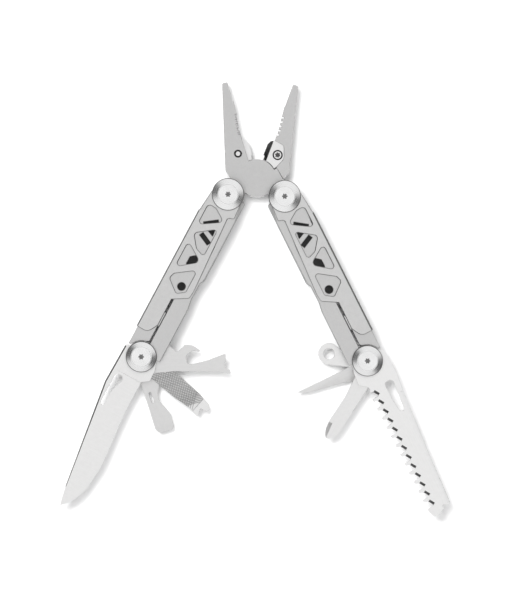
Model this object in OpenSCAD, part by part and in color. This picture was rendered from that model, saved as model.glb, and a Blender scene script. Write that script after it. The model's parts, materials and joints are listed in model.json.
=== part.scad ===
// Folding multi tool: needle-nose pliers between two handles, each handle a stack of steel plates that
// holds four tools on one axle. It lies flat with its jaws towards +Y and its front face up.
// Every outline is a list of corners [x, y, radius]; a radius of 0 leaves the corner sharp.

/* [Pliers] */
// Distance from the plier pivot to the jaw tips
jaw_length = 49.5; // [48:0.5:51]
// Angle between the jaws as they lie open
jaw_opening = 38; // [34:1:38]
// Tilt of the plier head on the centre line, positive anticlockwise
head_tilt = -2; // [-4:1:4]
// Radius of the round lap joint
lap_r = 9.3; // [9.1:0.1:9.4]
// Sideways distance of a tang pivot from the centre line of the closed pliers
tang_x = 10.3; // [10.2:0.1:10.6]
// Distance of a tang pivot behind the plier pivot
tang_y = 12.7; // [12.5:0.1:13]

/* [Handles] */
// Distance between the two pivots of a handle
handle_length = 90; // [90:0.5:92]
// Width of a handle plate
handle_w = 18.4; // [18:0.1:18.4]
// Direction of the left handle, from its tool pivot to its plier pivot
left_direction = 61.9; // [58:0.1:64]
// Direction of the right handle, from its tool pivot to its plier pivot
right_direction = 116.7; // [114:0.1:120]
// Radius of the axles through each end of a handle
axle_r = 3; // [2.5:0.1:3.2]
// Radius of the screw heads at the plier end
head_cap_r = 7.9; // [7.8:0.1:8.2]
// Radius of the screw heads at the tool end
tool_cap_r = 7.55; // [7.5:0.05:7.7]

/* [Layers] */
// Height of a screw head above the plate below it at the plier end
cap_t = 1.4; // [1.2:0.1:1.6]
// Thickness of a cover plate
cover_t = 1; // [0.9:0.05:1.1]
// Thickness of a liner plate
liner_t = 1.2; // [1.1:0.05:1.3]
// Thickness of each of the three small tools of a handle
small_tool_t = 2.3; // [2.1:0.1:2.4]
// Thickness of the knife and of the saw
blade_t = 2.5; // [2.4:0.1:2.7]
// Thickness of a washer between two layers
washer_t = 0.2; // [0.15:0.05:0.3]

/* [Tools] */
// How far the knife and the saw are turned out of the handle
blade_open = 180; // [150:5:180]
// How far the can opener is turned out
can_opener_open = 61.9; // [50:0.1:70]
// How far the file is turned out
file_open = 103.4; // [95:0.1:110]
// How far the flat screwdriver is turned out
flat_driver_open = 133.9; // [128:0.1:140]
// How far the lanyard ring is turned out
ring_open = 56.6; // [50:0.1:62]
// How far the awl is turned out
awl_open = 88; // [80:0.5:95]
// How far the cross-head screwdriver is turned out
cross_driver_open = 125.7; // [118:0.1:130]
// Radius of the hole in the lanyard ring
lanyard_r = 2.7; // [2.5:0.1:2.9]
// Distance between two teeth of the saw
saw_pitch = 5; // [5:0.1:5.1]

/* [Hidden] */
$fn = 96;

// Place of the plier pivot, which centres the box of the whole tool on the origin
plier_pivot = [1.09, 59.16];
bore_play = 0.05;
touch_play = 0.02;
cut = 0.5;
arc_step = 10;

// Heights, from the lowest screw heads upwards
back_cover_z = cap_t;
back_liner_z = back_cover_z + cover_t;
layer_d_z = back_liner_z + liner_t + washer_t;
layer_c_z = layer_d_z + small_tool_t + washer_t;
layer_b_z = layer_c_z + small_tool_t + washer_t;
layer_a_z = layer_b_z + small_tool_t + washer_t;
front_liner_z = layer_a_z + blade_t + washer_t;
front_cover_z = front_liner_z + liner_t;
front_cap_z = front_cover_z + cover_t;
top_z = front_cap_z + cap_t;
jaw_z = layer_d_z;
jaw_top_z = layer_b_z + small_tool_t;
lap_gap = 0.1;
mid_z = (jaw_z + jaw_top_z) / 2;

// Places on the closed pliers: the face that stops each jaw, from inside out
stop_face = [[7.0, 8.4], [12.6, 3.9]];
stop_gap = 1.2;
// Where the inner edge of the left jaw leaves the centre line, from below
grip_edge = [[-1.5, 25], [-0.05, 37]];
lap_clear_r = lap_r + 0.2;
boss_r = 6.4;
cutter_screw = [5.4, 14.2];
plier_pin_r = 3.5;
plier_head_r = 4.9;

steel = [0.72, 0.72, 0.71];
blade_steel = [0.84, 0.84, 0.83];
cap_steel = [0.88, 0.88, 0.87];
cutter_steel = [0.6, 0.6, 0.6];

// ---- outlines -------------------------------------------------------------------------------------

function turned(v, a) = [v.x * cos(a) - v.y * sin(a), v.x * sin(a) + v.y * cos(a)];
function unit(v) = v / norm(v);
function place(corner) = [corner[0], corner[1]];

// The arc of radius r that rounds the corner at, between its two neighbours
function corner_arc(before, at, after, r) =
  r == 0 ? [at] :
  let (
    to_before = unit(before - at),
    to_after = unit(after - at),
    half = acos(to_before * to_after) / 2,
    centre = at + unit(to_before + to_after) * r / sin(half),
    spoke = at + to_before * r / tan(half) - centre,
    sweep = (180 - 2 * half) * sign(cross(spoke, at + to_after * r / tan(half) - centre)),
    steps = max(1, ceil(abs(sweep) / arc_step))
  )
  [for (i = [0 : steps]) centre + turned(spoke, sweep * i / steps)];

function rounded(corners) =
  let (n = len(corners))
  [for (i = [0 : n - 1])
    each corner_arc(place(corners[(i + n - 1) % n]), place(corners[i]),
                    place(corners[(i + 1) % n]), corners[i][2])];

module plate(z, t, corners) {
  translate([0, 0, z]) linear_extrude(t) polygon(rounded(corners));
}

module disc(r, z, t) {
  translate([0, 0, z]) cylinder(r = r, h = t);
}

// A hole through a stack of height t, open at both faces
module hole(r, z, t) {
  disc(r, z - cut, t + 2 * cut);
}

// A straight slot of width w between two points
module slot(from, to, w, z, t) {
  along = to - from;
  translate([from.x, from.y, z])
    rotate([0, 0, atan2(along.y, along.x)])
      translate([0, -w / 2, 0]) cube([norm(along), w, t]);
}

// A slot with round ends, centred on two points and open at both faces
module long_hole(from, to, w, z, t) {
  slot(from, to, w, z - cut, t + 2 * cut);
  for (end = [from, to]) translate([end.x, end.y, 0]) hole(w / 2, z, t);
}

// ---- places ---------------------------------------------------------------------------------------

front_jaw_turn = head_tilt + jaw_opening / 2;
back_jaw_turn = head_tilt - jaw_opening / 2;
left_head_pivot = plier_pivot + turned([-tang_x, -tang_y], back_jaw_turn);
right_head_pivot = plier_pivot + turned([tang_x, -tang_y], front_jaw_turn);
left_tool_pivot = left_head_pivot - turned([handle_length, 0], left_direction);
right_tool_pivot = right_head_pivot - turned([handle_length, 0], right_direction);

// A plier half is drawn in the closed pliers, with the plier pivot at the origin
module in_front_jaw() {
  translate([plier_pivot.x, plier_pivot.y, 0]) rotate([0, 0, front_jaw_turn]) children();
}

module in_back_jaw() {
  translate([plier_pivot.x, plier_pivot.y, 0]) rotate([0, 0, back_jaw_turn]) children();
}

// A handle is drawn with its tool pivot at the origin, its plier pivot on +X, and its tools opening
// towards +Y
module in_left_handle() {
  translate([left_tool_pivot.x, left_tool_pivot.y, 0])
    rotate([0, 0, left_direction]) mirror([0, 1, 0]) children();
}

module in_right_handle() {
  translate([right_tool_pivot.x, right_tool_pivot.y, 0])
    rotate([0, 0, right_direction]) children();
}

// A tool is drawn along +X with its pivot at the origin, and turned out of its handle by open
module turned_out(open) {
  rotate([0, 0, open]) mirror([0, 1, 0]) children();
}

// Turns a piece of the front half of the stack over to the back half
module at_back() {
  translate([0, 0, top_z]) mirror([0, 0, 1]) children();
}

// ---- pliers ---------------------------------------------------------------------------------------

// The left half of the closed pliers, at full thickness
module jaw_body() {
  plate(jaw_z, jaw_top_z - jaw_z, [
    [-0.05, jaw_length, 0.3], [-2.8, jaw_length, 0.9], [-13.7, 8.2, 3], [-stop_face[1].x, stop_face[1].y, 0.5],
    [-stop_face[0].x, stop_face[0].y, 0.4], [-5, 5, 0], [grip_edge[0].x, 5, 0], [grip_edge[0].x, grip_edge[0].y, 8],
    [grip_edge[1].x, grip_edge[1].y, 8]]);
}

// The front half of the lap joint, with the tang on the right, cut back so that the other jaw stops
// against it; only the boss round the handle's axle has the full thickness
module tang_body() {
  stop = [for (p = stop_face) turned(p, -jaw_opening - stop_gap)];
  z = mid_z + lap_gap / 2;
  t = jaw_top_z - z;
  disc(lap_r, z, t);
  plate(z, t, [
    [0, 0, 0], [6.6, 0.5, 0], [stop[0].x, stop[0].y, 0.5], [stop[1].x, stop[1].y, 0.8],
    [16.6, -12, 1], [tang_x, -tang_y, 0], [5.4, -15.6, 0], [3, -8.8, 0]]);
  plate(z, t, [
    [0, 0, 0], [-5, 5, 0], [-6, 10, 0], [-11, 8, 0], [-stop_face[1].x, stop_face[1].y, 0.5],
    [-9, -2.3, 0]]);
  translate([tang_x, -tang_y, 0]) disc(boss_r, jaw_z, jaw_top_z - jaw_z);
}

// The coarse teeth along the hollow that grips pipes
module grip_teeth() {
  for (i = [0 : 4]) {
    y = 23.7 + 2.15 * i;
    edge_x = lookup(y, [for (p = grip_edge) [p.y, p.x]]);
    translate([edge_x - 0.5, y, 0]) hole(0.62, jaw_z, jaw_top_z - jaw_z);
  }
}

// Fine teeth across the tip of the jaw
module tip_teeth() {
  for (y = [grip_edge[1].y + 1.5 : 1.5 : jaw_length - 1.5])
    translate([0.12, y, jaw_z - cut]) cylinder(r = 0.42, h = jaw_top_z - jaw_z + 2 * cut, $fn = 24);
}

// The slopes that thin the jaw towards its tip, at the front and at the back
module tip_slopes() {
  slope = 3.1;
  start_y = 23;
  for (side = [0, 1])
    translate([0, start_y, side == 0 ? jaw_z : jaw_top_z])
      mirror([0, 0, side]) rotate([slope, 0, 0]) translate([-20, 0, -5]) cube([25, 40, 5]);
}

// The corners of a cutter on the left jaw; its edge passes the centre line and shears past the other
cutter_corners = [
  [0.45, 7, 0], [0.45, 11.6, 0], [1.2, 11.8, 0.2], [1.2, 17.6, 0.8], [0.3, 19.5, 0.5], [-1.4, 20.3, 0.8],
  [-6.6, 19.7, 2.4], [-8.9, 13.5, 3], [-7, 8.75, 0], [-5, 5.4, 0]];

// The screw hole of a cutter: threaded in the jaw, with a ring-shaped countersink round the screw's end
module cutter_screw_hole() {
  translate([-cutter_screw.x, cutter_screw.y, 0]) {
    hole(1.7, jaw_z, jaw_top_z - jaw_z);
    disc(1.85, jaw_top_z - 0.7, 0.7 + cut);
  }
}

// The front half of the pliers: jaw on the left, lap disc in front, tang on the right
module front_half() {
  difference() {
    union() {
      jaw_body();
      tang_body();
    }
    disc(lap_clear_r, jaw_z - cut, mid_z - jaw_z + lap_gap / 2 + cut);
    grip_teeth();
    tip_teeth();
    tip_slopes();
    plate(jaw_z - cut, mid_z - jaw_z + lap_gap / 2 + cut, cutter_corners);
    cutter_screw_hole();
    translate([tang_x, -tang_y, 0]) hole(axle_r + bore_play, jaw_z, jaw_top_z - jaw_z);
  }
}

// The pivot pin is pressed into this blind hole
module front_jaw() {
  color(steel) in_front_jaw() difference() {
    front_half();
    disc(plier_pin_r, mid_z - cut, jaw_top_z - 1.2 - mid_z + cut);
  }
}

module back_jaw() {
  color(steel) in_back_jaw() difference() {
    at_back() mirror([1, 0, 0]) translate([0, 0, top_z - jaw_top_z - jaw_z]) front_half();
    hole(plier_pin_r + bore_play, jaw_z, jaw_top_z - jaw_z);
    disc(plier_head_r + 0.1, jaw_z - cut, 1.1 + cut);
  }
}

module plier_pivot_pin() {
  color(cap_steel) in_front_jaw() difference() {
    union() {
      disc(plier_pin_r, jaw_z + 0.5, jaw_top_z - 1.2 - jaw_z - 0.5);
      disc(plier_head_r, jaw_z + 0.05, 0.95);
    }
    star_recess(jaw_z + 0.05, 0.6);
  }
}

// A six-lobed driver recess that opens downwards at height z
module star_recess(z, depth) {
  disc(1.05, z - cut, depth + cut);
  for (a = [0 : 60 : 300])
    rotate([0, 0, a]) translate([1.05, 0, 0]) disc(0.36, z - cut, depth + cut);
}

// The cutter of the left jaw, at the back: a long bevel leads up to its edge at mid height
module cutter() {
  t = mid_z - jaw_z - lap_gap / 2;
  bevel_w = 2.3;
  difference() {
    plate(jaw_z, t, cutter_corners);
    disc(lap_clear_r + 0.05, jaw_z - cut, t + 2 * cut);
    translate([1.2 - bevel_w, 0, jaw_z])
      rotate([0, -atan2(t - 0.1, bevel_w), 0]) translate([0, 0, -6]) cube([8, 24, 6]);
    translate([-cutter_screw.x, cutter_screw.y, 0]) {
      hole(1.55, jaw_z, t);
      disc(2.45, jaw_z - cut, 1.5 + cut);
    }
  }
}

// The screw of the left cutter: its head at the back is a cone that leaves a groove round it, and its
// stepped end shows at the front
module cutter_fastener() {
  translate([-cutter_screw.x, cutter_screw.y, 0]) difference() {
    union() {
      translate([0, 0, jaw_z + 0.1]) cylinder(r1 = 1.85, r2 = 2.35, h = 1.4);
      disc(1.5, jaw_z + 1.4, jaw_top_z - jaw_z - 2.2);
      disc(1.15, jaw_z + 1.4, jaw_top_z - jaw_z - 1.5);
    }
    scale(0.95) star_recess(jaw_z + 0.2, 0.8);
  }
}

// Turns a piece of the left jaw at the back over to the right jaw at the front
module on_back_jaw() {
  in_back_jaw() translate([0, 0, jaw_z + jaw_top_z]) mirror([0, 0, 1]) mirror([1, 0, 0]) children();
}

module front_jaw_cutter() {
  color(cutter_steel) in_front_jaw() cutter();
}

module back_jaw_cutter() {
  color(cutter_steel) on_back_jaw() cutter();
}

module front_cutter_screw() {
  color(cap_steel) in_front_jaw() cutter_fastener();
}

module back_cutter_screw() {
  color(cap_steel) on_back_jaw() cutter_fastener();
}

// ---- handle plates --------------------------------------------------------------------------------

edge_y = handle_w / 2;

// The four windows of a cover plate
windows = [
  [[81.4, -6.2, 1.8], [81.2, -2, 1.5], [77, 4.4, 1.5], [70.2, -6.2, 1.3]],
  [[72.4, 3.6, 1], [57.7, 3.6, 1.2], [59.4, -1, 2], [65.6, -5.8, 1.7]],
  [[60.6, -6.2, 1.3], [54.3, 3.4, 1.7], [46.8, -6.2, 1.3]],
  [[50.1, 4.2, 1.3], [38.1, 4.2, 1.3], [35.4, 0.4, 1.3], [40.6, -6, 1.7], [43.6, -5, 1.7]]];

module cover_plate() {
  lip = 0.55;
  difference() {
    union() {
      plate(front_cover_z, cover_t, [
        [12.3, -edge_y, 0.4], [12.1, -3, 4], [17.4, -0.1, 0.5], [31.8, -0.2, 0], [36.2, 7.3, 1.6],
        [40, 7.7, 3], [51, 7.1, 30], [79.7, 5.4, 1.4], [80.6, 8.4, 0.8],
        [handle_length, 7.7, 3], [handle_length, -7.7, 3], [77.9, -8.6, 1], [76.6, -edge_y, 0.6]]);
      translate([handle_length, 0, 0]) disc(7.7, front_cover_z, cover_t);
    }
    for (w = windows) plate(front_cover_z - cut, cover_t + 2 * cut, w);
    translate([0, -edge_y, front_cover_z + cover_t - lip])
      rotate([-45, 0, 0]) translate([0, -3, 0]) cube([76.4, 3, 3]);
    translate([handle_length, 0, 0]) hole(axle_r + bore_play, front_cover_z, cover_t);
    cover_dowel_places() disc(dowel_r, front_cover_z - cut, cut + cover_t - 0.3);
  }
}

// The liner: hub, inner half and the full plate beyond the lock, with its cut-outs under the windows
module liner_plate(inner_y, end_x, end_y, cut_outs) {
  difference() {
    union() {
      disc(7.2, front_liner_z, liner_t);
      plate(front_liner_z, liner_t, [
        [1.8, lock_y + 1, 0], [1.8, edge_y - 0.1, 0.4], [31, edge_y - 0.1, 3], [36, 8.3, 3], [45, 8.3, 1],
        [47, inner_y, 1], [end_x, end_y, 1], [handle_length, 7.7, 3], [handle_length, -7.7, 3], [77, -8.9, 2],
        [lock_root, -8.9, 0], [lock_root, lock_y + 1, 0]]);
      translate([handle_length, 0, 0]) disc(7.7, front_liner_z, liner_t);
    }
    hole(axle_r + bore_play, front_liner_z, liner_t);
    translate([handle_length, 0, 0]) hole(axle_r + bore_play, front_liner_z, liner_t);
    if (cut_outs) {
      slot([72, -4], [76.4, 2.1], 1.4, front_liner_z - cut, liner_t + 2 * cut);
      slot([67, -2.6], [64.2, 3.2], 2.3, front_liner_z - cut, liner_t + 2 * cut);
      plate(front_liner_z - cut, liner_t + 2 * cut, [[69.8, -0.4, 0.2], [72, 2.6, 0.4], [68.2, 3.1, 0.3]]);
      plate(front_liner_z - cut, liner_t + 2 * cut, [
        [54.4, -2.2, 0.3], [56.7, 0.6, 0.4], [55.3, 2.3, 0.8], [52.7, 1.9, 0.8], [50.2, -2.2, 0.3]]);
      translate([39.6, 1.1, 0]) hole(2.05, front_liner_z, liner_t);
    }
    cover_dowel_places() disc(dowel_r, front_cover_z - 0.9, 0.9 + cut);
  }
}

dowel_r = 0.8;

module cover_dowel_places() {
  for (at = [[35.6, 3.5], [48.5, -1.2], [64, 5.4]]) translate([at.x, at.y, 0]) children();
}

// The blind dowels that hold a front cover to its liner
module cover_dowels() {
  cover_dowel_places() disc(dowel_r, front_cover_z - 0.85, cover_t + 0.5);
}

lock_root = 32;
lock_gap = 0.25;
lock_y = -0.15;

// The spring arm that locks a blade: it turns on its root and its end fits round the screw head
module lock_bar() {
  scoop_r = 60;
  difference() {
    plate(front_liner_z, liner_t, [
      [3, -8.6, 0.2], [3, -7.9, 0], [4.3, -6.3, 0], [8.6, lock_y, 0.2], [17, lock_y, 0], [17.4, lock_y + 0.75, 0.2],
      [24.6, lock_y + 0.75, 0.2], [25, lock_y, 0], [lock_root - lock_gap, lock_y, 0], [lock_root - lock_gap, -8.6, 0]]);
    disc(tool_cap_r + 0.35, front_liner_z - cut, liner_t + 2 * cut);
    translate([6, -20, front_cover_z - 0.8 + scoop_r])
      rotate([-90, 0, 0]) cylinder(r = scoop_r, h = 40, $fn = 240);
  }
}

// ---- handle fasteners -----------------------------------------------------------------------------

// A round screw head with a sloping rim and a dished middle, its underside at height z
module cap(r, z) {
  rim_drop = 0.75;
  dish_r = 4.8;
  difference() {
    rotate_extrude() polygon([
      [0, z], [r, z], [r, top_z - rim_drop - 0.15], [r - 0.15, top_z - rim_drop], [dish_r + 0.25, top_z],
      [dish_r, top_z], [dish_r - 0.12, top_z - 0.25], [1.8, top_z - 0.42], [0, top_z - 0.42]]);
    translate([0, 0, 2 * top_z - 0.42]) mirror([0, 0, 1]) star_recess(top_z, 0.75);
  }
}

// The female half of an axle, with its head at the back
module barrel(r, z, length_top) {
  difference() {
    union() {
      at_back() cap(r, z);
      disc(axle_r, top_z - z - 0.01, length_top - (top_z - z) + 0.01);
    }
    disc(1.6, 5.5, length_top);
  }
}

// The male half, with its head at the front
module screw(r, z) {
  cap(r, z);
  disc(1.55, 6, z - 6 + 0.01);
}

module washer(z) {
  difference() {
    disc(5, z + touch_play, washer_t - 2 * touch_play);
    hole(axle_r + bore_play, z, washer_t);
  }
}

module washers() {
  layers = [layer_d_z, layer_c_z, layer_b_z, layer_a_z, front_liner_z];
  for (z = layers) washer(z - washer_t);
  translate([handle_length, 0, 0]) washer(layer_d_z - washer_t);
}

// Fills the blade layer in front of the tang
module head_spacer() {
  z = jaw_top_z + touch_play;
  translate([handle_length, 0, 0]) difference() {
    disc(6.4, z, front_liner_z - touch_play - z);
    hole(axle_r + bore_play, z, front_liner_z - z);
  }
}

module left_front_cover() {
  color(steel) in_left_handle() cover_plate();
}

module left_back_cover() {
  color(steel) in_left_handle() at_back() cover_plate();
}

module left_front_liner() {
  color(steel) in_left_handle() liner_plate(9.3, 80, 9.3, true);
}

module left_back_liner() {
  color(steel) in_left_handle() at_back() liner_plate(9.6, 91.8, 9.4, false);
}

module left_front_lock() {
  color(steel) in_left_handle() lock_bar();
}

module left_back_lock() {
  color(steel) in_left_handle() at_back() lock_bar();
}

module left_head_barrel() {
  color(cap_steel) in_left_handle() translate([handle_length, 0, 0])
    barrel(head_cap_r, front_cap_z, front_cap_z - touch_play);
}

module left_head_screw() {
  color(cap_steel) in_left_handle() translate([handle_length, 0, 0]) screw(head_cap_r, front_cap_z);
}

module left_tool_barrel() {
  color(cap_steel) in_left_handle() barrel(tool_cap_r, front_cover_z, front_cover_z - touch_play);
}

module left_tool_screw() {
  color(cap_steel) in_left_handle() screw(tool_cap_r, front_cover_z);
}

module left_washers() {
  color(cap_steel) in_left_handle() washers();
}

module left_head_spacer() {
  color(cap_steel) in_left_handle() head_spacer();
}

module left_cover_dowels() {
  color(cap_steel) in_left_handle() {
    cover_dowels();
    at_back() cover_dowels();
  }
}

module right_front_cover() {
  color(steel) in_right_handle() cover_plate();
}

module right_back_cover() {
  color(steel) in_right_handle() at_back() cover_plate();
}

module right_front_liner() {
  color(steel) in_right_handle() liner_plate(9.3, 80, 9.3, true);
}

module right_back_liner() {
  color(steel) in_right_handle() at_back() liner_plate(9.6, 91.8, 9.4, false);
}

module right_front_lock() {
  color(steel) in_right_handle() lock_bar();
}

module right_back_lock() {
  color(steel) in_right_handle() at_back() lock_bar();
}

module right_head_barrel() {
  color(cap_steel) in_right_handle() translate([handle_length, 0, 0])
    barrel(head_cap_r, front_cap_z, front_cap_z - touch_play);
}

module right_head_screw() {
  color(cap_steel) in_right_handle() translate([handle_length, 0, 0]) screw(head_cap_r, front_cap_z);
}

module right_tool_barrel() {
  color(cap_steel) in_right_handle() barrel(tool_cap_r, front_cover_z, front_cover_z - touch_play);
}

module right_tool_screw() {
  color(cap_steel) in_right_handle() screw(tool_cap_r, front_cover_z);
}

module right_washers() {
  color(cap_steel) in_right_handle() washers();
}

module right_head_spacer() {
  color(cap_steel) in_right_handle() head_spacer();
}

module right_cover_dowels() {
  color(cap_steel) in_right_handle() {
    cover_dowels();
    at_back() cover_dowels();
  }
}

// ---- blades ---------------------------------------------------------------------------------------

// Grinds both faces of a blade from the line back_y, where it keeps its thickness, down to edge_t at
// the line front_y
module ground_faces(start_x, back_y, front_y, edge_t) {
  slope = atan2((blade_t - edge_t) / 2, front_y - back_y);
  for (side = [0, 1])
    translate([start_x, back_y, side == 0 ? layer_a_z : layer_a_z + blade_t])
      mirror([0, 0, side]) rotate([slope, 0, 0]) translate([0, 0, -4]) cube([90, 30, 4]);
}

module knife_blade() {
  color(blade_steel) in_left_handle() turned_out(blade_open) difference() {
    plate(layer_a_z, blade_t, [
      [-6.4, -3.4, 2], [-2.6, -7, 0], [-1.8, -9.7, 0.3], [18.8, -10.2, 6], [73.5, -3, 8], [83.2, -1, 0.3],
      [78.2, 3.7, 14], [70.5, 6.7, 24], [57, 8.2, 40], [26, 5.6, 60], [12.6, 5.9, 0.6],
      [11.1, 5.7, 0.5], [8.6, 9.3, 0.5], [3, 9, 2], [-2.5, 7.4, 1], [-6.6, 3.6, 2]]);
    ground_faces(11.4, -7.8, 8, 0.3);
    hole(axle_r + bore_play, layer_a_z, blade_t);
    plate(layer_a_z - cut, blade_t + 2 * cut, [
      [12.7, -2.8, 1.8], [16.6, -3, 2.4], [20.8, -5.1, 4], [29.8, -5.1, 1.05], [29.8, -7.3, 1.05],
      [12.9, -7.4, 1.8]]);
  }
}

saw_gullets = 13;

module saw_blade() {
  color(blade_steel) in_right_handle() turned_out(blade_open) difference() {
    plate(layer_a_z, blade_t, [
      [-6.4, -3.4, 2], [-2.6, -7, 0], [-1.6, -9.5, 0.3], [4, -10.2, 6], [12.7, -10.1, 10], [21, -9.1, 20],
      [57, -6.3, 60], [79.6, -5.1, 1], [81, -4.1, 0.4], [80.3, -2.6, 0.6], [79.3, -1.7, 0.5],
      [80.4, -0.7, 0.4], [81.4, -1.4, 0.2], [83.4, 3.2, 0.3], [82.5, 5.2, 0.3], [79.6, 6.3, 0],
      [15.2, 6.3, 0], [13.2, 5.2, 0.6], [11.7, 5.6, 0.4], [8.9, 9.2, 0.5], [3.2, 8.7, 2],
      [-2.5, 7.2, 1], [-6.6, 3.6, 2]]);
    for (i = [0 : saw_gullets - 1])
      translate([12.9 + saw_pitch * i, 0, 0]) saw_gullet();
    hole(axle_r + bore_play, layer_a_z, blade_t);
    plate(layer_a_z - cut, blade_t + 2 * cut, [
      [13.2, -2.5, 1.7], [22.8, -2.4, 6], [29.6, -3.4, 0.95], [29.6, -5.6, 0.95], [13.4, -7, 1.7]]);
  }
}

// The gap between two saw teeth, with a slanting floor
module saw_gullet() {
  plate(layer_a_z - cut, blade_t + 2 * cut, [
    [1.2, 7.4, 0], [1.9, 4.4, 0.4], [4.9, 2.5, 0.4], [5.4, 7.4, 0]]);
}

// ---- small tools ----------------------------------------------------------------------------------

// The round eye of a small tool with its outline; children are cut away
module small_tool(z, corners) {
  difference() {
    union() {
      disc(6, z, small_tool_t);
      plate(z, small_tool_t, corners);
    }
    hole(axle_r + bore_play, z, small_tool_t);
    children();
  }
}

module can_opener() {
  color(steel) in_left_handle() turned_out(can_opener_open)
    small_tool(layer_b_z, [
      [0, 5.9, 0], [12.6, 6.1, 1.2], [17.2, 2.2, 1.2], [19.8, 4.2, 2], [21.4, 5.9, 1], [25.2, 5.5, 2.5],
      [28.9, 2.9, 0.3], [27.7, 2.4, 0.6], [25.2, 3.1, 1.6], [21.6, 0.5, 2.4], [22.4, -4.4, 1.9],
      [32.8, -1.6, 6], [41.2, 1.6, 0.3], [41.3, -2.3, 1.6], [39.7, -4.4, 1.4], [43.4, -6.7, 0.3],
      [43.7, -8.4, 0.5], [37.5, -7.5, 10], [16, -7.2, 20], [5, -8.3, 2], [0, -6, 0]]);
}

module file() {
  thinning = 0.35;
  color(steel) in_left_handle() turned_out(file_open)
    small_tool(layer_c_z, [
      [0, 5.2, 0], [33, 5.1, 6], [40.4, 4.1, 1.6], [42.4, 2.2, 1], [41.6, 0.5, 0.8], [38.4, 0, 0.5],
      [39.4, -2, 0.8], [40.2, -3.3, 0.4], [39.2, -4, 0.3], [35.2, -3.4, 4], [25, -4.5, 20], [0, -5.4, 0]])
      translate([36.4, -8, layer_c_z + small_tool_t - thinning]) cube([8, 16, 1]);
}

module flat_screwdriver() {
  tip_slope = 8;
  color(steel) in_left_handle() turned_out(flat_driver_open)
    small_tool(layer_d_z, [
      [0, 5, 0], [5, 3.1, 1], [16.4, 3.6, 1.2], [19.2, 1.8, 1.5], [22.6, 1.2, 4], [25.4, 2.1, 5],
      [31, 4.7, 4], [37.3, 4.3, 2], [38.8, 3.3, 0.2], [38.8, -2.8, 0.3], [36.4, -4.9, 1.6], [20, -4.7, 10],
      [8, -5, 10], [0, -5.6, 0]]) {
      long_hole([18.6, -1.9], [22.9, -1.8], 1.3, layer_d_z, small_tool_t);
      for (side = [0, 1])
        translate([34, 0, side == 0 ? layer_d_z : layer_d_z + small_tool_t])
          mirror([0, 0, side]) rotate([0, -tip_slope, 0]) translate([0, -8, -3]) cube([10, 16, 3]);
    }
}

// A cross-head driver ground from flat stock: two slopes each side leave a ridge along its middle
module cross_screwdriver() {
  color(steel) in_right_handle() turned_out(cross_driver_open)
    small_tool(layer_b_z, [
      [0, 4, 0], [8, 1.6, 4], [20, 1.3, 20], [34, 2.8, 4], [38.6, 2.6, 1.5], [41.4, 1.6, 1], [43.3, 0.2, 0.3],
      [42.6, -1.2, 0.3], [40.6, -3, 1], [38.4, -4.2, 1.5], [26, -5.4, 20], [11, -6.6, 4], [0, -5.6, 0]])
      for (side = [0, 1])
        translate([35, 0.9, side == 0 ? layer_b_z : layer_b_z + small_tool_t])
          mirror([0, 0, side]) rotate([20, -6, -6]) translate([0, 0, -4]) cube([14, 8, 4]);
}

module lanyard_ring() {
  ring_at = [18.9, 1.1];
  ring_r = 5.25;
  color(steel) in_right_handle() turned_out(ring_open)
    small_tool(layer_c_z, [
      [0, 5.8, 0], [8, 4.6, 4], [12.6, 3.6, 3], [15.6, 5.1, 0], [ring_at.x, ring_at.y, 0],
      [ring_at.x, ring_at.y - ring_r, 0], [8.6, -4.2, 4], [0, -5.6, 0]])
      translate([ring_at.x, ring_at.y, 0]) hole(lanyard_r, layer_c_z, small_tool_t);
  color(steel) in_right_handle() turned_out(ring_open)
    translate([ring_at.x, ring_at.y, 0]) difference() {
      disc(ring_r, layer_c_z, small_tool_t);
      hole(lanyard_r, layer_c_z, small_tool_t);
    }
}

module awl() {
  color(steel) in_right_handle() turned_out(awl_open)
    small_tool(layer_d_z, [
      [0, 3, 0], [7, 0.9, 3], [15, 0.4, 20], [38.3, 0, 0.2], [33.2, -2.3, 14], [11.2, -5.8, 6], [0, -5.9, 0]])
      mirror([0, 1, 0])
        for (side = [0, 1])
          translate([8.6, 0.6, side == 0 ? layer_d_z : layer_d_z + small_tool_t])
            mirror([0, 0, side]) rotate([10, 0.8, 0]) translate([0, 0, -4]) cube([34, 9, 4]);
}

front_jaw();
back_jaw();
plier_pivot_pin();
front_jaw_cutter();
back_jaw_cutter();
front_cutter_screw();
back_cutter_screw();
left_front_cover();
left_back_cover();
left_front_liner();
left_back_liner();
left_front_lock();
left_back_lock();
left_head_barrel();
left_head_screw();
left_tool_barrel();
left_tool_screw();
left_washers();
left_head_spacer();
left_cover_dowels();
right_front_cover();
right_back_cover();
right_front_liner();
right_back_liner();
right_front_lock();
right_back_lock();
right_head_barrel();
right_head_screw();
right_tool_barrel();
right_tool_screw();
right_washers();
right_head_spacer();
right_cover_dowels();
knife_blade();
can_opener();
file();
flat_screwdriver();
saw_blade();
cross_screwdriver();
lanyard_ring();
awl();
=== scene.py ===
import json
from math import atan2, cos, hypot, pi, radians, sin

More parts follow.
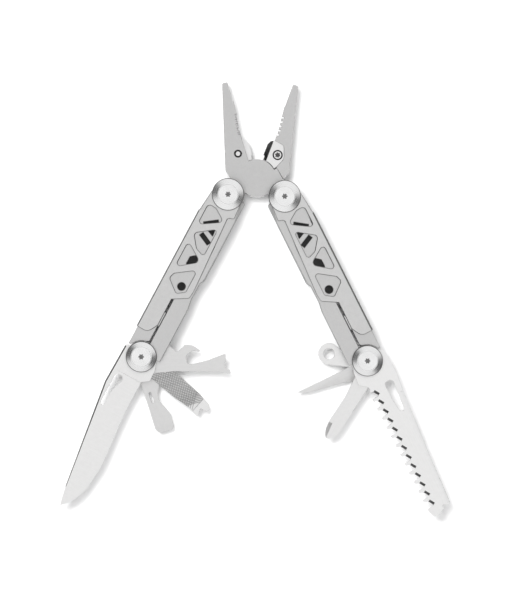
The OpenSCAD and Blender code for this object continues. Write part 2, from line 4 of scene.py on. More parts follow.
import bmesh
import bpy
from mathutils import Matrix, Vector


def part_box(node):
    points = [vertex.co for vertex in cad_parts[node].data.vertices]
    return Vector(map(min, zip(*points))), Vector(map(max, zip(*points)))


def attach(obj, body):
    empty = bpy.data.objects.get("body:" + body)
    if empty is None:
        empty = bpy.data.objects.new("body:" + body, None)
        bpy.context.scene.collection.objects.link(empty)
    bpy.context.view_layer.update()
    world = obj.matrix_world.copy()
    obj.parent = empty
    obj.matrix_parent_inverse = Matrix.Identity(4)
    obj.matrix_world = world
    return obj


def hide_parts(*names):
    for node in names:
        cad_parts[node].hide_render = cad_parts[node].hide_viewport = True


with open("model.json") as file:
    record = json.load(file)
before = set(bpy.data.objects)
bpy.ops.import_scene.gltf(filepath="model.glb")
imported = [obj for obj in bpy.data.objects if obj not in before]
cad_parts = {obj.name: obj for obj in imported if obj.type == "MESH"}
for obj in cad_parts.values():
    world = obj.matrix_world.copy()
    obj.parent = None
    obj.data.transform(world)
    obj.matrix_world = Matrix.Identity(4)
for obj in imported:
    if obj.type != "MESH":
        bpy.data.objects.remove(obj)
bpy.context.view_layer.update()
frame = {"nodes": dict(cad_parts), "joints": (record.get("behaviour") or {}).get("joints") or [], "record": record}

MM = 0.001
NODES = frame["nodes"]
JOINTS = {j["name"]: j for j in frame["joints"]}
BODY_OF = {n: b for b, ns in frame["record"]["behaviour"]["bodies"].items() for n in ns}
COLLECTION = bpy.context.scene.collection


def low(node):
    """The lowest height of a CAD node, in millimetres."""
    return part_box(node)[0].z / MM


def high(node):
    """The greatest height of a CAD node, in millimetres."""
    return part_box(node)[1].z / MM


def centre_of(name):
    a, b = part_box(name)
    return (a + b) / 2


TOP = high("left_head_screw")


# ---- places -------------------------------------------------------------------------------------

class Place:
    """A flat frame: turns a point given in its own millimetres into a point in metres, and back."""

    def __init__(self, origin, direction, flipped=False):
        self.o = Vector((origin[0], origin[1], 0))
        self.angle = direction
        self.x = Vector((cos(direction), sin(direction), 0))
        self.y = Vector((-sin(direction), cos(direction), 0)) * (-1 if flipped else 1)

    def __call__(self, x, y, z=0.0):
        return self.o + (self.x * x + self.y * y + Vector((0, 0, z))) * MM

    def inverse(self, point):
        d = Vector((point[0], point[1], 0)) - self.o
        return Vector((d.dot(self.x) / MM, d.dot(self.y) / MM, point[2] / MM))


def pivot(joint):
    return Vector(JOINTS[joint]["pos_m"])


def heading(a, b):
    return atan2(b.y - a.y, b.x - a.x)


PLIER = pivot("plier_pivot")
LEFT_HEAD, RIGHT_HEAD = pivot("left_handle_fold"), pivot("right_handle_fold")
LEFT_TOOL, RIGHT_TOOL = pivot("knife_fold"), pivot("saw_fold")
LEFT = Place(LEFT_TOOL, heading(LEFT_TOOL, LEFT_HEAD), flipped=True)
RIGHT = Place(RIGHT_TOOL, heading(RIGHT_TOOL, RIGHT_HEAD))


def left_tool(joint):
    return Place(LEFT_TOOL, LEFT.angle - radians(JOINTS[joint]["range_deg"][1]))


def right_tool(joint):
    return Place(RIGHT_TOOL, RIGHT.angle + radians(JOINTS[joint]["range_deg"][1]), flipped=True)


KNIFE, OPENER = left_tool("knife_fold"), left_tool("can_opener_fold")
FILE, FLAT = left_tool("file_fold"), left_tool("flat_screwdriver_fold")
SAW, CROSS = right_tool("saw_fold"), right_tool("cross_screwdriver_fold")
RING, AWL = right_tool("lanyard_ring_fold"), right_tool("awl_fold")


# ---- materials ----------------------------------------------------------------------------------

def new_material(name):
    m = bpy.data.materials.new(name)
    m.use_nodes = True
    t = m.node_tree
    return m, t, t.nodes["Principled BSDF"]


def node(tree, kind, **values):
    n = tree.nodes.new(kind)
    for k, v in values.items():
        if k.startswith("in_"):
            n.inputs[int(k[3:]) if k[3:].isdigit() else k[3:].replace("_", " ")].default_value = v
        else:
            setattr(n, k, v)
    return n


def link(tree, a, out, b, inp):
    tree.links.new(a.outputs[out], b.inputs[inp])


def ramp(tree, source, out, stops):
    r = node(tree, "ShaderNodeValToRGB")
    e = r.color_ramp.elements
    while len(e) < len(stops):
        e.new(0.5)
    for k, (at, c) in enumerate(stops):
        e[k].position = at
        e[k].color = (*c, 1) if len(c) == 3 else c
    link(tree, source, out, r, 0)
    return r


def grey(v, warm=0.0):
    return (v * (1 + warm), v, v * (1 - warm))


# Scales of the noises in the steels, in cycles per metre, and the part of a noise that carries its pattern
CLOUD_SCALE, FINE_SCALE, PIT_SCALE = 420.0, 2600.0, 5200.0
NOISE_LOW, NOISE_HIGH = 0.3, 0.7
# How grinding marks are stretched along and across their direction
GRAIN_STRETCH = (0.03, 1.6, 1.0)
# Depths of the pits of blasting and of tool marks, in metres
PIT_DEPTH, MARK_DEPTH = 0.00003, 0.00002


def steel(name, value, rough, grain=None, grain_amount=0.0, mottle=0.05, blast=0.0, warm=0.004, spread=0.05):
    """Satin steel. grain is the direction of the grinding marks, in radians from X; blast is the
    strength of a bead-blasted surface."""
    m, t, b = new_material(name)
    b.inputs["Metallic"].default_value = 1.0
    where = node(t, "ShaderNodeTexCoord")
    cloud = node(t, "ShaderNodeTexNoise", in_Scale=CLOUD_SCALE, in_Detail=3.0, in_Roughness=0.6)
    link(t, where, "Object", cloud, "Vector")
    fine = node(t, "ShaderNodeTexNoise", in_Scale=FINE_SCALE, in_Detail=2.0, in_Roughness=0.5)
    if grain is not None:
        turn = node(t, "ShaderNodeMapping")
        turn.vector_type = "POINT"
        turn.inputs["Rotation"].default_value = (0, 0, -grain)
        link(t, where, "Object", turn, "Vector")
        stretch = node(t, "ShaderNodeMapping")
        stretch.inputs["Scale"].default_value = GRAIN_STRETCH
        link(t, turn, "Vector", stretch, "Vector")
        link(t, stretch, "Vector", fine, "Vector")
    else:
        link(t, where, "Object", fine, "Vector")
    both = node(t, "ShaderNodeMix", data_type="FLOAT")
    both.inputs[0].default_value = 0.5
    link(t, cloud, "Fac", both, 2)
    link(t, fine, "Fac", both, 3)
    dark, pale = value * (1 - mottle), min(1.0, value * (1 + mottle))
    tint = ramp(t, both, 0, [(NOISE_LOW, grey(dark, warm)), (NOISE_HIGH, grey(pale, warm))])
    link(t, tint, 0, b, "Base Color")
    gloss = node(t, "ShaderNodeMapRange", in_1=NOISE_LOW, in_2=NOISE_HIGH,
                 in_3=rough - spread, in_4=rough + spread)
    link(t, both, 0, gloss, 0)
    link(t, gloss, 0, b, "Roughness")
    bump = node(t, "ShaderNodeBump")
    if blast:
        pits = node(t, "ShaderNodeTexNoise", in_Scale=PIT_SCALE, in_Detail=3.0, in_Roughness=0.65)
        link(t, where, "Object", pits, "Vector")
        link(t, pits, "Fac", bump, "Height")
        bump.inputs["Strength"].default_value = blast
        bump.inputs["Distance"].default_value = PIT_DEPTH
    else:
        link(t, fine, "Fac", bump, "Height")
        bump.inputs["Strength"].default_value = max(grain_amount, 0.02)
        bump.inputs["Distance"].default_value = MARK_DEPTH
    link(t, bump, "Normal", b, "Normal")
    return m


def turned_steel(name, value, rough, ring_pitch=0.00022, anisotropic=0.75):
    """Steel turned on a lathe: rings round the piece's own Z axis."""
    m, t, b = new_material(name)
    b.inputs["Metallic"].default_value = 1.0
    b.inputs["Anisotropic"].default_value = anisotropic
    b.inputs["Anisotropic Rotation"].default_value = 0.0
    where = node(t, "ShaderNodeTexCoord")
    part = node(t, "ShaderNodeSeparateXYZ")
    link(t, where, "Object", part, 0)
    flat = node(t, "ShaderNodeCombineXYZ")
    link(t, part, 0, flat, 0)
    link(t, part, 1, flat, 1)
    r = node(t, "ShaderNodeVectorMath", operation="LENGTH")
    link(t, flat, 0, r, 0)
    rings = node(t, "ShaderNodeTexNoise", noise_dimensions="1D", in_Detail=2.0, in_Roughness=0.6)
    scaled = node(t, "ShaderNodeMath", operation="MULTIPLY")
    scaled.inputs[1].default_value = 1 / ring_pitch
    link(t, r, "Value", scaled, 0)
    link(t, scaled, 0, rings, "W")
    rings.inputs["Scale"].default_value = 1.0
    tint = ramp(t, rings, "Fac", [(0.25, grey(value * 0.95)), (0.75, grey(min(1.0, value * 1.04)))])
    link(t, tint, 0, b, "Base Color")
    gloss = node(t, "ShaderNodeMapRange", in_1=NOISE_LOW, in_2=NOISE_HIGH,
                 in_3=rough - 0.05, in_4=rough + 0.06)
    link(t, rings, "Fac", gloss, 0)
    link(t, gloss, 0, b, "Roughness")
    bump = node(t, "ShaderNodeBump")
    bump.inputs["Strength"].default_value = 0.12
    bump.inputs["Distance"].default_value = MARK_DEPTH
    link(t, rings, "Fac", bump, "Height")
    link(t, bump, "Normal", b, "Normal")
    tangent = node(t, "ShaderNodeTangent", direction_type="RADIAL", axis="Z")
    link(t, tangent, 0, b, "Tangent")
    return m


BLASTED = steel("blasted_steel", 0.74, 0.40, blast=0.5, mottle=0.07)
LINER = steel("liner_steel", 0.68, 0.38, blast=0.35, mottle=0.05)
JAW = steel("jaw_steel", 0.68, 0.40, blast=0.4, mottle=0.06)
EDGE = steel("edge_steel", 0.72, 0.26, mottle=0.06)
# Painted shade: a darker steel for the rounded edges of the handle plates, drawn as dark outlines
PAINTED_EDGE_SHADE = steel("painted_edge_shade", 0.40, 0.30, mottle=0.08)
# Painted shade: near-black steel for hidden inner faces, inner pieces, and the holes and recesses of jaws and
# screws
PAINTED_SHADE = steel("painted_shade_steel", 0.13, 0.50, mottle=0.12)
# Painted shade: dark steel for the driver recesses and the outer edges of the axle heads
PAINTED_CAP_SHADE = steel("painted_cap_shade", 0.22, 0.40, mottle=0.12)
# Painted dark reflection: near-black steel for the spine chamfer, the saw's gullet strips and the covers' lips and
# window rims
PAINTED_DARK_REFLECTION = steel("painted_dark_reflection", 0.13, 0.34, mottle=0.10)
CUTTER = steel("cutter_steel", 0.90, 0.34, grain=radians(60), grain_amount=0.1)
# Near-black steel for the cutters' large bevels, and painted shade in the countersinks of their screws
DARK_BEVEL_AND_SHADE = steel("dark_bevel_and_painted_shade", 0.06, 0.42, mottle=0.2, blast=0.3)
TURNED = turned_steel("turned_steel", 0.92, 0.22)
BRIGHT = steel("bright_steel", 0.86, 0.30, mottle=0.05)
KNIFE_FLAT = steel("knife_flat", 0.90, 0.34, grain=KNIFE.angle, grain_amount=0.10)
KNIFE_GRIND = steel("knife_grind", 0.90, 0.32, grain=KNIFE.angle + pi / 2, grain_amount=0.07)
SAW_FLAT = steel("saw_flat", 0.93, 0.34, grain=SAW.angle, grain_amount=0.10)


def tool_steel(name, place, value, rough=0.36):
    return steel(name, value, rough, grain=place.angle, grain_amount=0.12, mottle=0.05)


OPENER_STEEL = tool_steel("opener_steel", OPENER, 0.80)
FILE_STEEL = tool_steel("file_steel", FILE, 0.90)
# Painted shade: the darker steel for the slanting walls of the file's grooves
FILE_GROOVE_SHADE = tool_steel("file_groove_painted_shade", FILE, 0.60)
FLAT_STEEL = tool_steel("flat_driver_steel", FLAT, 0.78)
CROSS_STEEL = tool_steel("cross_driver_steel", CROSS, 0.90)
CROSS_FLUTE = tool_steel("cross_flute_steel", CROSS, 0.97, 0.62)
RING_STEEL = tool_steel("ring_steel", RING, 0.92)
AWL_STEEL = tool_steel("awl_steel", AWL, 0.82)


# ---- mesh tools ---------------------------------------------------------------------------------

def object_from(bm, name, place_at=None):
    me = bpy.data.meshes.new(name)
    if place_at is not None:
        bmesh.ops.translate(bm, verts=bm.verts, vec=-Vector(place_at))
    bm.to_mesh(me)
    bm.free()
    ob = bpy.data.objects.new(name, me)
    if place_at is not None:
        ob.location = place_at
    COLLECTION.objects.link(ob)
    return ob


def prism(place, points, z0, z1):
    """A closed block with a flat outline, in a place's millimetres."""
    bm = bmesh.new()
    bottom = [bm.verts.new(place(x, y, z0)) for x, y in points]
    top = [bm.verts.new(place(x, y, z1)) for x, y in points]
    n = len(points)
    bm.faces.new(bottom)
    bm.faces.new(top)
    for i in range(n):
        bm.faces.new([bottom[i], bottom[(i + 1) % n], top[(i + 1) % n], top[i]])
    bmesh.ops.recalc_face_normals(bm, faces=bm.faces)
    return bm


def beam(place, a, b, section):
    """A closed block along the line a to b (x, y); section is a list of (side, z), side to the left."""
    bm = bmesh.new()
    along = Vector((b[0] - a[0], b[1] - a[1]))
    n = Vector((-along.y, along.x)).normalized()
    rings = []
    for p in (a, b):
        rings.append([bm.verts.new(place(p[0] + n.x * s, p[1] + n.y * s, z)) for s, z in section])
    k = len(section)
    bm.faces.new(rings[0])
    bm.faces.new(rings[1])
    for i in range(k):
        bm.faces.new([rings[0][i], rings[0][(i + 1) % k], rings[1][(i + 1) % k], rings[1][i]])
    bmesh.ops.recalc_face_normals(bm, faces=bm.faces)
    return bm


def merged(parts):
    """Several closed blocks as one temporary object."""
    bm = bmesh.new()
    for p in parts:
        me = bpy.data.meshes.new("part")
        p.to_mesh(me)
        p.free()
        bm.from_mesh(me)
        bpy.data.meshes.remove(me)
    return object_from(bm, "cutter")


def cut(ob, cutter):
    """Takes cutter away from ob and deletes cutter."""
    mod = ob.modifiers.new("cut", "BOOLEAN")
    mod.operation = "DIFFERENCE"
    mod.solver = "EXACT"
    mod.object = cutter
    bpy.context.view_layer.update()
    evaluated = ob.evaluated_get(bpy.context.evaluated_depsgraph_get())
    me = bpy.data.meshes.new_from_object(evaluated)
    ob.modifiers.clear()
    old = ob.data
    ob.data = me
    bpy.data.meshes.remove(old)
    bpy.data.objects.remove(cutter)
    return ob


def twin(name, *sources):
    """A new object with the meshes of these CAD nodes, welded."""
    bm = bmesh.new()
    for s in sources:
        bm.from_mesh(NODES[s].data)
    bmesh.ops.remove_doubles(bm, verts=bm.verts, dist=1e-6)
    bm.faces.ensure_lookup_table()
    for f in bm.faces:
        f.material_index = 0
    ob = object_from(bm, name)
    ob.data.materials.clear()
    for layer in list(ob.data.uv_layers):
        ob.data.uv_layers.remove(layer)
    return ob


def finish_edges(ob, width, segments=2, edge_slot=1, angle=28, keep=None):
    """Joins flat areas and rounds sharp edges by width, in millimetres; keep picks which of them."""
    bm = bmesh.new()
    bm.from_mesh(ob.data)
    bmesh.ops.remove_doubles(bm, verts=bm.verts, dist=2e-6)
    bmesh.ops.dissolve_degenerate(bm, dist=2e-6, edges=bm.edges)
    bmesh.ops.dissolve_limit(bm, angle_limit=radians(0.6), use_dissolve_boundaries=False,
                             verts=bm.verts, edges=bm.edges, delimit={"MATERIAL"})
    if width:
        sharp = [e for e in bm.edges if len(e.link_faces) == 2 and e.calc_face_angle(0) > radians(angle)
                 and (keep is None or keep(e))]
        bmesh.ops.bevel(bm, geom=sharp, offset=width * MM, offset_type="OFFSET", segments=segments,
                        profile=0.5, affect="EDGES", clamp_overlap=False, material=edge_slot,
                        loop_slide=True)
        bmesh.ops.dissolve_degenerate(bm, dist=1e-6, edges=bm.edges)
    bm.to_mesh(ob.data)
    bm.free()
    shade(ob)
    return ob


def shade(ob, angle=35):
    me = ob.data
    me.polygons.foreach_set("use_smooth", [True] * len(me.polygons))
    me.set_sharp_from_angle(angle=radians(angle))
    mod = ob.modifiers.new("normals", "WEIGHTED_NORMAL")
    mod.keep_sharp = True
    mod.weight = 80


def dress(ob, materials, nodes, body=None):
    """Materials, the CAD nodes that a piece stands for, and the body it rides on."""
    painted = [p.material_index for p in ob.data.polygons]
    ob.data.materials.clear()
    for m in materials:
        ob.data.materials.append(m)
    ob.data.polygons.foreach_set("material_index", painted)
    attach(ob, body or BODY_OF[nodes[0]])
    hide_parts(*nodes)
    return ob


def split(ob, place, x, y, nx, ny):
    """Adds an edge to every face that crosses the upright plane through (x, y)."""
    bm = bmesh.new()
    bm.from_mesh(ob.data)
    bmesh.ops.bisect_plane(bm, geom=bm.verts[:] + bm.edges[:] + bm.faces[:], dist=1e-7,
                           plane_co=place(x, y, 0), plane_no=(place(x + nx, y + ny, 0) - place(x, y, 0)))
    bm.to_mesh(ob.data)
    bm.free()


def paint(ob, slot_index, test):
    """Gives a material slot to the faces that test picks."""
    for p in ob.data.polygons:
        if test(p):
            p.material_index = slot_index


# ---- plates of the handles ----------------------------------------------------------------------

HANDLES = {"left": LEFT, "right": RIGHT}
COVER_ROUNDING, LINER_ROUNDING = 0.3, 0.16
# The inner faces of the plates carry painted shade, near-black, up to these lines of the handle, beyond which they
# show
HIDDEN_U, HIDDEN_V = 80, 6.2
# The band across the handle that holds the windows of a cover
WINDOWS_V = (-8.4, 5.5)
# The smallest area of a cover's slanting outer lip, in square metres
LIP_AREA = 10 * MM * MM


def lip_or_window_rim(place):
    """A test for the slanting outer lip of a cover, and for the rims of its windows on their outer side."""
    across = (place(0, 1, 0) - place(0, 0, 0)).normalized()

    def test(p):
        if p.area > LIP_AREA:
            return 0.3 < abs(p.normal.z) < 0.9
        v = place.inverse(p.center).y
        slants = 0.1 < abs(p.normal.z) < 0.97 and p.normal.dot(across) > 0.25
        return slants and WINDOWS_V[0] < v < WINDOWS_V[1]
    return test


def hidden(place, inward):
    """A test for the faces of a plate that look inward, where the other plates cover them."""
    def test(p):
        q = place.inverse(p.center)
        return p.normal.z * inward > 0.99 and q.x < HIDDEN_U and q.y < HIDDEN_V
    return test


# Slot 1 on every plate holds its rounded edges, which carry the painted edge shade
for side, place in HANDLES.items():
    for layer in ("front", "back"):
        n = f"{side}_{layer}_cover"
        ob = finish_edges(twin(n + "_fine", n), COVER_ROUNDING)
        # the slanting outer lip and the outer rims of the windows get a painted dark reflection
        paint(ob, 2, lip_or_window_rim(place))
        dress(ob, [BLASTED, PAINTED_EDGE_SHADE, PAINTED_DARK_REFLECTION], [n])
        inward = -1 if layer == "front" else 1
        for n in (f"{side}_{layer}_liner", f"{side}_{layer}_lock"):
            ob = finish_edges(twin(n + "_fine", n), LINER_ROUNDING)
            split(ob, place, HIDDEN_U, 0, 1, 0)
            split(ob, place, 0, HIDDEN_V, 0, 1)
            # the inward faces that the other plates cover are painted dark as shade, for the slots and gaps that
            # look into the handle
            paint(ob, 2, hidden(place, inward))
            dress(ob, [LINER, PAINTED_EDGE_SHADE, PAINTED_SHADE], [n])

# ---- jaws ---------------------------------------------------------------------------------------

# Reaches from a cutter screw's axis, in millimetres: the hole in the jaw, the countersink in the cutter,
# the foot of the screw's rim and its driver recess
JAW_HOLE, COUNTERSINK, SCREW_RIM, DRIVER = 2.1, 2.6, 1.6, 1.1


def reach(p, axis):
    """How far a face lies from an upright axis, in millimetres."""
    return (p.center - axis).xy.length / MM


def sunk(p, z0, z1):
    """How far a face lies inside the two outer faces of a piece from z0 to z1, in millimetres."""
    z = p.center.z / MM
    return min(z1 - z, z - z0)


def jaw(n):
    ob = finish_edges(twin(n + "_fine", n), 0.22, segments=3)
    screw = centre_of(n.replace("jaw", "cutter_screw"))
    outside = 1 if n == "front_jaw" else -1
    face = high(n) if outside > 0 else low(n)
    # the jaw's hole round the cutter screw, below its outer face, is painted dark as shade
    paint(ob, 2, lambda p: reach(p, screw) < JAW_HOLE and (face - p.center.z / MM) * outside > 0.25)
    dress(ob, [JAW, EDGE, PAINTED_SHADE], [n])


def jaw_cutter(n):
    ob = finish_edges(twin(n + "_fine", n), 0.1)
    screw = centre_of(n.replace("jaw_cutter", "cutter_screw"))
    z0, z1 = low(n), high(n)
    bevel_area = 3 * MM * MM

    # the countersink round the screw gets painted shade; the large slanting bevels are made nearly black
    def dark(p):
        countersink = reach(p, screw) < COUNTERSINK and sunk(p, z0, z1) > 0.12
        return countersink or (0.3 < abs(p.normal.z) < 0.97 and p.area > bevel_area)
    paint(ob, 2, dark)
    dress(ob, [CUTTER, CUTTER, DARK_BEVEL_AND_SHADE], [n])


def small_screw(n, recessed):
    ob = finish_edges(twin(n + "_fine", n), 0.06)
    middle = centre_of(n)
    z0, z1 = low(n), high(n)
    if recessed:
        # the sunk faces of the screw, outside its rim band, are painted dark as shade
        paint(ob, 2, lambda p: sunk(p, z0, z1) > 0.25 and not DRIVER <= reach(p, middle) <= SCREW_RIM)
    dress(ob, [BRIGHT, EDGE, PAINTED_SHADE], [n])


for end in ("front", "back"):
    jaw(f"{end}_jaw")
for end in ("front", "back"):
    jaw_cutter(f"{end}_jaw_cutter")
for end in ("front", "back"):
    small_screw(f"{end}_cutter_screw", recessed=True)
small_screw("plier_pivot_pin", recessed=False)


# ---- axles --------------------------------------------------------------------------------------

def lathe(profile, centre, segments=144):
    """Turns a closed outline (radius, z), in millimetres, round the vertical line through centre."""
    bm = bmesh.new()
    rings = []
    for r, z in profile:
        if r < 1e-6:
            rings.append([bm.verts.new((centre.x, centre.y, z * MM))])
        else:
            rings.append([bm.verts.new((centre.x + r * MM * cos(2 * pi * k / segments),
                                        centre.y + r * MM * sin(2 * pi * k / segments), z * MM))
                          for k in range(segments)])
    count = len(profile)
    for i in range(count):
        a, b = rings[i], rings[(i + 1) % count]
        if len(a) == 1 and len(b) == 1:
            continue
        for k in range(segments):
            q = (k + 1) % segments
            if len(a) == 1:
                bm.faces.new([a[0], b[k], b[q]])
            elif len(b) == 1:
                bm.faces.new([a[k], b[0], a[q]])
            else:
                bm.faces.new([a[k], b[k], b[q], a[q]])
    bmesh.ops.recalc_face_normals(bm, faces=bm.faces)
    return bm


def star(centre, z0, z1, r=1.05, lobe=0.36, steps=6):
    """A six-lobed driver recess with its lobes rounded, as a closed block."""
    points = []
    for k in range(6):
        a = k * pi / 3
        for s in range(-steps, steps + 1):
            t = a + radians(105) * s / steps
            points.append((r * cos(a) + lobe * cos(t), r * sin(a) + lobe * sin(t)))
        inner = a + pi / 6
        points.append((0.9 * cos(inner), 0.9 * sin(inner)))
    return prism(Place(centre, 0.0), points, z0, z1)


def cap_profile(r, z):
    """The head of an axle above its seat at height z: a turned cone round a raised ring and a dish."""
    return [(r, z), (r, TOP - 1.02), (r - 0.05, TOP - 0.92), (r - 0.16, TOP - 0.84), (r - 0.32, TOP - 0.78),
            (5.22, TOP - 0.06), (5.14, TOP - 0.02), (5.05, TOP), (4.86, TOP), (4.80, TOP - 0.02),
            (4.74, TOP - 0.09), (4.66, TOP - 0.11), (1.95, TOP - 0.14), (1.85, TOP - 0.16), (0, TOP - 0.16)]


RECESS_REACH = 1.5


def off_axis(p):
    """How far a face lies from the axis of an axle, in millimetres; an axle's own frame is on its axis."""
    return hypot(p.center.x, p.center.y) / MM


AXLES = {("left", "head"): LEFT_HEAD, ("right", "head"): RIGHT_HEAD,
         ("left", "tool"): LEFT_TOOL, ("right", "tool"): RIGHT_TOOL}


def axle(side, end):
    """The two parts of an axle: the screw with the front head, and the barrel with the back head."""
    centre = Vector((*AXLES[side, end].xy, 0))
    screw, barrel = f"{side}_{end}_screw", f"{side}_{end}_barrel"
    r = (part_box(screw)[1].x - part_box(screw)[0].x) / 2 / MM
    seat = TOP - low(barrel) - 1.4 if end == "head" else TOP - 2.4
    front = cap_profile(r, seat) + [(0, 6), (1.55, 6), (1.55, seat)]
    ob = object_from(lathe(front, centre), screw + "_fine", centre)
    ob = cut(ob, merged([star(centre, TOP - 1.3, TOP + 0.5)]))
    foot = r - 0.26
    # the outer edge of the head and the inside of its driver recess are painted dark as shade
    paint(ob, 1, lambda p: off_axis(p) > foot
          or off_axis(p) < RECESS_REACH and p.center.z < (TOP - 0.2) * MM)
    shade(ob, 30)
    dress(ob, [TURNED, PAINTED_CAP_SHADE], [screw])
    back = [(p[0], TOP - p[1]) for p in cap_profile(r, seat)]
    top = seat - 0.02
    back += [(0, 5.5), (1.6, 5.5), (1.6, top), (3.0, top), (3.0, TOP - seat)]
    ob = object_from(lathe(back, centre), barrel + "_fine", centre)
    ob = cut(ob, merged([star(centre, -0.5, 1.3)]))
    # the outer edge of the back head and the inside of its driver recess are painted dark as shade
    paint(ob, 1, lambda p: off_axis(p) > foot
          or off_axis(p) < RECESS_REACH and 0.2 * MM < p.center.z < 2 * MM)
    shade(ob, 30)
    dress(ob, [TURNED, PAINTED_CAP_SHADE], [barrel])


for side in ("left", "right"):
    for end in ("head", "tool"):
        axle(side, end)
    for inner in ("washers", "head_spacer", "cover_dowels"):
        # the washers, spacers and dowels between the plates are painted dark as shade
        n = NODES[f"{side}_{inner}"]
        n.data.materials.clear()
        n.data.materials.append(PAINTED_SHADE)

# ---- knife and saw ------------------------------------------------------------------------------

def edge_cut(ob, place, a, b, inner, top, depth):
    """Cuts a slanting face along the line a to b: inner wide on the flat and depth down at the line."""
    slope = depth / inner
    out, over = 1.2, 0.06
    section = [(inner + over / slope, top + over), (-out, top + over), (-out, top - depth - out * slope)]
    return cut(ob, object_from(beam(place, a, b, section), "cutter"))


def on_slope(place, lines, reach):
    """A test for faces that slant and lie within reach of one of the lines, in millimetres."""
    def test(p):
        if not 0.3 < abs(p.normal.z) < 0.9:
            return False
        q = place.inverse(p.center)
        for a, b in lines:
            d = Vector((b[0] - a[0], b[1] - a[1]))
            w = Vector((q.x - a[0], q.y - a[1]))
            t = w.dot(d) / d.length_squared
            if -0.05 < t < 1.05 and (w - d * t).length < reach:
                return True
        return False
    return test


BLADE_ROUNDING = 0.08

ob = twin("knife_blade_fine", "knife_blade")
top = high("knife_blade")
spine = [((-1.2, -9.72), (18.8, -10.2)), ((18.8, -10.2), (73.5, -3.0))]
chamfer, grind_from = 0.7, 11
for a, b in spine:
    ob = edge_cut(ob, KNIFE, a, b, chamfer, top, chamfer)
finish_edges(ob, BLADE_ROUNDING)
paint(ob, 2, lambda p: 0.9 < abs(p.normal.z) < 0.9995 and KNIFE.inverse(p.center).x > grind_from)
# the faces of the spine chamfer are painted dark as a painted reflection
paint(ob, 3, on_slope(KNIFE, spine, 0.85))
dress(ob, [KNIFE_FLAT, EDGE, KNIFE_GRIND, PAINTED_DARK_REFLECTION], ["knife_blade"])

ob = twin("saw_blade_fine", "saw_blade")
top = high("saw_blade")
ob = edge_cut(ob, SAW, (21, -9.1), (79.6, -5.1), 1.7, top, 0.22)
finish_edges(ob, BLADE_ROUNDING)
gullets, first_gullet, gullet_pitch, gullet_width = 13, 14.8, 5, 0.62
strips = []
for k in range(gullets):
    x = first_gullet + gullet_pitch * k
    strips.append(((x + 0.25, 4.24), (x + 2.75, 2.66)))
    ob = edge_cut(ob, SAW, *strips[-1], gullet_width, top, gullet_width)
shade(ob)
# the slanting gullet strips are painted dark as a painted reflection
paint(ob, 2, on_slope(SAW, strips, 1.1))
dress(ob, [SAW_FLAT, EDGE, PAINTED_DARK_REFLECTION], ["saw_blade"])


def file_teeth(ob, top, angle, pitch, depth, x0, x1):
    """Rows of grooves with flat lands between them, across the file's face from x0 to x1."""
    reach = 8.0
    g = Vector((cos(angle), sin(angle)))
    step = pitch / abs(sin(angle))
    section, count = [], int((x1 - x0) / step)
    for k in range(count):
        section += [(x0 + k * step, top + 0.02), (x0 + (k + 0.46) * step, top + 0.02),
                    (x0 + (k + 0.74) * step, top - depth)]
    section += [(x0 + count * step, top + 0.02), (x0 + count * step, top + 1), (x0, top + 1)]
    bm = bmesh.new()
    ends = []
    for side in (-reach, reach):
        shift = side * g.x / g.y
        ends.append([bm.verts.new(FILE(x + shift, side, z)) for x, z in section])
    n = len(section)
    bm.faces.new(ends[0])
    bm.faces.new(ends[1])
    for k in range(n):
        bm.faces.new([ends[0][k], ends[0][(k + 1) % n], ends[1][(k + 1) % n], ends[1][k]])
    bmesh.ops.recalc_face_normals(bm, faces=bm.faces)
    return cut(ob, object_from(bm, "cutter"))


for n, m in (("can_opener", OPENER_STEEL), ("flat_screwdriver", FLAT_STEEL),
             ("lanyard_ring", RING_STEEL), ("awl", AWL_STEEL)):
    dress(finish_edges(twin(n + "_fine", n), 0.12), [m, EDGE], [n])

TIP_FROM = 26.5


def behind_tip(e):
    """An edge of the cross driver that isn't on its fluted tip, whose thin edges can't be rounded."""
    return all(CROSS.inverse(v.co).x < TIP_FROM for v in e.verts)


ob = finish_edges(twin("cross_screwdriver_fine", "cross_screwdriver"), 0.1, keep=behind_tip)
paint(ob, 2, lambda p: abs(p.normal.z) < 0.97 and CROSS.inverse(p.center).x > TIP_FROM + 0.5)
dress(ob, [CROSS_STEEL, EDGE, CROSS_FLUTE], ["cross_screwdriver"])

ob = finish_edges(twin("file_fine", "file"), 0.12)
top = high("file")
ob = file_teeth(ob, top, radians(55), 0.80, 0.20, 9.5, 35.2)
ob = file_teeth(ob, top, radians(-62), 1.1, 0.09, 9.5, 34.5)
shade(ob, 20)
# the slanting walls of the grooves near the top are painted darker as shade
paint(ob, 2, lambda p: 0.2 < abs(p.normal.z) < 0.95 and top - 0.25 < p.center.z / MM < top - 0.01)
dress(ob, [FILE_STEEL, EDGE, FILE_GROOVE_SHADE], ["file"])

# ---- stage, light and camera --------------------------------------------------------------------

bpy.ops.mesh.primitive_plane_add(size=6, location=(0, 0, 0))
floor = bpy.context.object
floor.name = "floor"
m, t, b = new_material("floor")
where = node(t, "ShaderNodeTexCoord")
cloud = node(t, "ShaderNodeTexNoise", in_Scale=30.0, in_Detail=2.0)
link(t, where, "Object", cloud, "Vector")
tint = ramp(t, cloud, "Fac", [(0.3, grey(0.90)), (0.7, grey(0.92))])
link(t, tint, 0, b, "Base Color")
b.inputs["Roughness"].default_value = 1.0
b.inputs["Specular IOR Level"].default_value = 0.0
floor.data.materials.append(m)

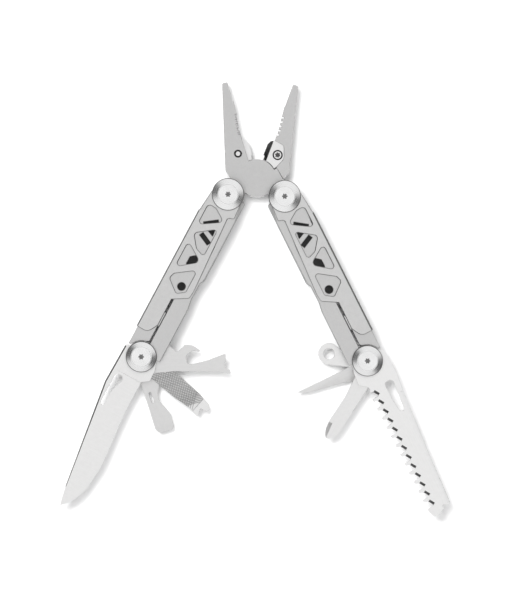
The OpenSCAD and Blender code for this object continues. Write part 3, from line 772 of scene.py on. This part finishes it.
world = bpy.data.worlds.new("studio")
bpy.context.scene.world = world
world.use_nodes = True
t = world.node_tree
background = t.nodes["Background"]
where = node(t, "ShaderNodeTexCoord")
part = node(t, "ShaderNodeSeparateXYZ")
link(t, where, "Generated", part, 0)
turn = node(t, "ShaderNodeMapping", vector_type="POINT")
turn.inputs["Rotation"].default_value = (0, 0, radians(20))
link(t, where, "Generated", turn, "Vector")
turned = node(t, "ShaderNodeSeparateXYZ")
link(t, turn, "Vector", turned, 0)
height = ramp(t, part, 2, [(0.0, grey(0.06)), (0.32, grey(0.10)), (0.62, grey(0.78)), (0.85, grey(0.95))])
ax = node(t, "ShaderNodeMath", operation="ABSOLUTE")
link(t, turned, 0, ax, 0)
ay = node(t, "ShaderNodeMath", operation="ABSOLUTE")
link(t, turned, 1, ay, 0)
diff = node(t, "ShaderNodeMath", operation="MULTIPLY_ADD")
diff.inputs[1].default_value = -0.6
link(t, ay, 0, diff, 0)
link(t, ax, 0, diff, 2)
flag = node(t, "ShaderNodeMapRange", in_1=0.28, in_2=0.42, in_3=1.0, in_4=0.14)
link(t, diff, 0, flag, 0)
both = node(t, "ShaderNodeMath", operation="MULTIPLY")
link(t, height, 0, both, 0)
link(t, flag, 0, both, 1)
link(t, both, 0, background, "Color")
background.inputs["Strength"].default_value = 1.0

def area_light(name, size, power, tilt, azimuth, distance):
    """A disk light aimed at the middle of the object; it lights, but doesn't mirror in the steel."""
    light = bpy.data.lights.new(name, "AREA")
    light.shape = "DISK"
    light.size = size
    light.energy = power
    ob = bpy.data.objects.new(name, light)
    d = Vector((sin(tilt) * cos(azimuth), sin(tilt) * sin(azimuth), cos(tilt)))
    ob.location = d * distance
    ob.rotation_euler = d.to_track_quat("Z", "Y").to_euler()
    ob.visible_glossy = False
    COLLECTION.objects.link(ob)


area_light("key", 0.40, 9, radians(19), radians(130), 1.1)
area_light("fill", 1.3, 7, 0.0, 0.0, 1.25)

# The camera looks straight down: the height that it measures from, its distance from there, and the
# height of the picture there, in metres; then its place from the plier pivot, in millimetres
FOCAL_PLANE = 0.0125
DISTANCE = 1.4
VIEW_HEIGHT = 0.294
CAMERA_FROM_PIVOT = Vector((-0.98, -59.78, 0))
cam = bpy.data.cameras.new("camera")
cam.sensor_fit = "VERTICAL"
cam.sensor_height = 24
cam.lens = cam.sensor_height * DISTANCE / VIEW_HEIGHT
cam_ob = bpy.data.objects.new("camera", cam)
cam_ob.location = PLIER + CAMERA_FROM_PIVOT * MM
cam_ob.location.z = FOCAL_PLANE + DISTANCE
COLLECTION.objects.link(cam_ob)
bpy.context.scene.camera = cam_ob
bpy.context.scene.view_settings.view_transform = "Standard"
